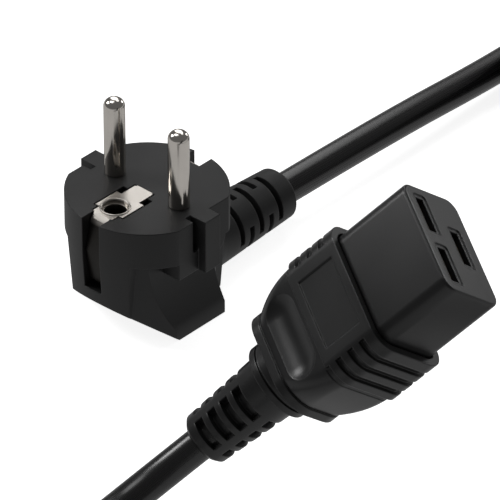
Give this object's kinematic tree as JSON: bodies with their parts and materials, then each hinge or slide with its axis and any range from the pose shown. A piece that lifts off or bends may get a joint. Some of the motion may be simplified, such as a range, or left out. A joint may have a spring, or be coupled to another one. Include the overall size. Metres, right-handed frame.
{
  "type": "power cord",
  "caption": "Black mains power cord with a right-angle earthed two-pin plug on one end and a rectangular appliance connector on the other, the spare cord in a tied coil.",
  "frame": {"origin": "on the plug's flat back, under the middle of the two pins", "axes": "+Z along the pins, away from the plug; +X the way the cord leaves the plug; the pins lie along Y"},
  "size_m": [0.3037, 0.1506, 0.0744],
  "materials": {
    "black_pvc": "satin moulded",
    "nose_plastic": "satin moulded",
    "cord_pvc": "satin extruded",
    "tie_plastic": "matte",
    "insert_plastic": "matte",
    "nickel": "nickel plated, polished",
    "contact_brass": "stamped",
    "copper": "stranded copper",
    "core_brown": "extruded",
    "core_blue": "extruded",
    "core_green_yellow": "extruded, striped"
  },
  "bodies": {
    "root": {"connector_body": "black_pvc", "connector_conductor_earth": "copper", "connector_conductor_line": "copper", "connector_conductor_neutral": "copper", "connector_insulation_earth": "core_green_yellow", "connector_insulation_line": "core_brown", "connector_insulation_neutral": "core_blue", "connector_nose": "nose_plastic", "contact_earth": "contact_brass", "contact_line": "contact_brass", "contact_neutral": "contact_brass", "cord_coil": "cord_pvc", "cord_connector_side": "cord_pvc", "cord_plug_side": "cord_pvc", "cord_tie": "tie_plastic", "earth_socket": "nickel", "earth_strip": "nickel", "pin_line": "nickel", "pin_neutral": "nickel", "plug_body": "black_pvc", "plug_conductor_earth": "copper", "plug_conductor_line": "copper", "plug_conductor_neutral": "copper", "plug_insert": "insert_plastic", "plug_insulation_earth": "core_green_yellow", "plug_insulation_line": "core_brown", "plug_insulation_neutral": "core_blue"}
  },
  "joints": []
}
